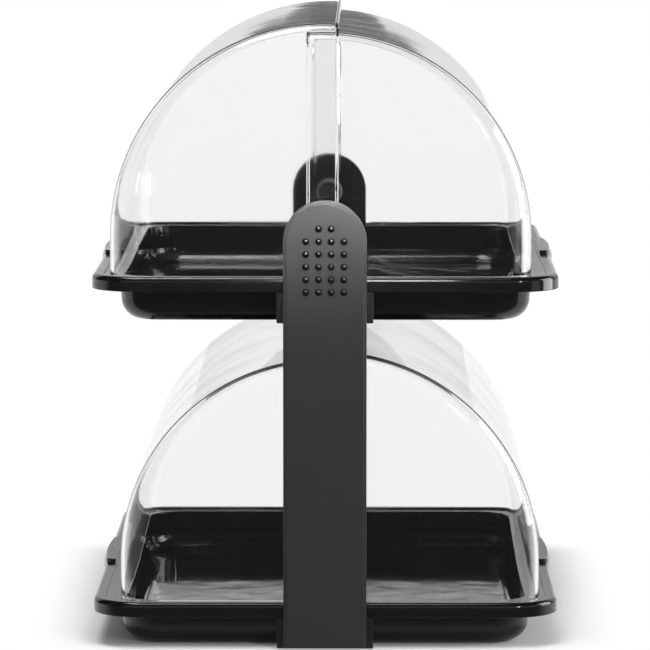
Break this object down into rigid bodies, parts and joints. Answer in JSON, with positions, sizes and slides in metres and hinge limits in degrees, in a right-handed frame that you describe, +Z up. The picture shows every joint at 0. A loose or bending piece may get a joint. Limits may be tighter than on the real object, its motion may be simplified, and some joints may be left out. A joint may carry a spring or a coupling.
{
  "type": "roll-top display case",
  "caption": "Two-tier counter display case: black trays between end uprights, each under clear quarter-round lids that roll over the top on end pivots.",
  "frame": {"origin": "on the ground under the middle of the case, the centre of the bottom of its bounding box", "axes": "+Z up; Y runs along the trays and the lid pivots; X runs across the case, and the lids roll between its -X and +X sides"},
  "size_m": [0.322, 0.4606, 0.4234],
  "materials": {
    "gloss_black_tray": "gloss moulded black plastic",
    "satin_black_upright": "satin moulded black plastic",
    "clear_lid": "clear polished moulded plastic",
    "pale_washer": "natural acetal",
    "zinc_screw": "zinc-plated steel"
  },
  "bodies": {
    "case": {"lower_tray": "gloss_black_tray", "upper_tray": "gloss_black_tray", "front_upright": "satin_black_upright", "front_lower_bracket": "satin_black_upright", "front_lower_screw_left": "zinc_screw", "front_lower_screw_right": "zinc_screw", "front_lower_pivot_pin": "satin_black_upright", "front_lower_pivot_bush": "satin_black_upright", "front_lower_pivot_washer": "pale_washer", "front_upper_bracket": "satin_black_upright", "front_upper_screw_left": "zinc_screw", "front_upper_screw_right": "zinc_screw", "front_upper_pivot_pin": "satin_black_upright", "front_upper_pivot_bush": "satin_black_upright", "front_upper_pivot_washer": "pale_washer", "rear_upright": "satin_black_upright", "rear_lower_bracket": "satin_black_upright", "rear_lower_screw_left": "zinc_screw", "rear_lower_screw_right": "zinc_screw", "rear_lower_pivot_pin": "satin_black_upright", "rear_lower_pivot_bush": "satin_black_upright", "rear_lower_pivot_washer": "pale_washer", "rear_upper_bracket": "satin_black_upright", "rear_upper_screw_left": "zinc_screw", "rear_upper_screw_right": "zinc_screw", "rear_upper_pivot_pin": "satin_black_upright", "rear_upper_pivot_bush": "satin_black_upright", "rear_upper_pivot_washer": "pale_washer"},
    "lower_outer_lid": {"lower_outer_lid": "clear_lid"},
    "lower_inner_lid": {"lower_inner_lid": "clear_lid"},
    "upper_outer_lid": {"upper_outer_lid": "clear_lid"},
    "upper_inner_lid": {"upper_inner_lid": "clear_lid"}
  },
  "joints": [
    {"name": "lower_outer_lid_roll", "type": "hinge", "parent": "case", "child": "lower_outer_lid", "pos_m": [0, 0, 0.056], "axis": [0, 1, 0], "range_deg": [-94, 0]},
    {"name": "lower_inner_lid_roll", "type": "hinge", "parent": "case", "child": "lower_inner_lid", "pos_m": [0, 0, 0.056], "axis": [0, 1, 0], "range_deg": [0, 94]},
    {"name": "upper_outer_lid_roll", "type": "hinge", "parent": "case", "child": "upper_outer_lid", "pos_m": [0, 0, 0.277], "axis": [0, 1, 0], "range_deg": [0, 94]},
    {"name": "upper_inner_lid_roll", "type": "hinge", "parent": "case", "child": "upper_inner_lid", "pos_m": [0, 0, 0.277], "axis": [0, 1, 0], "range_deg": [-94, 0]}
  ]
}
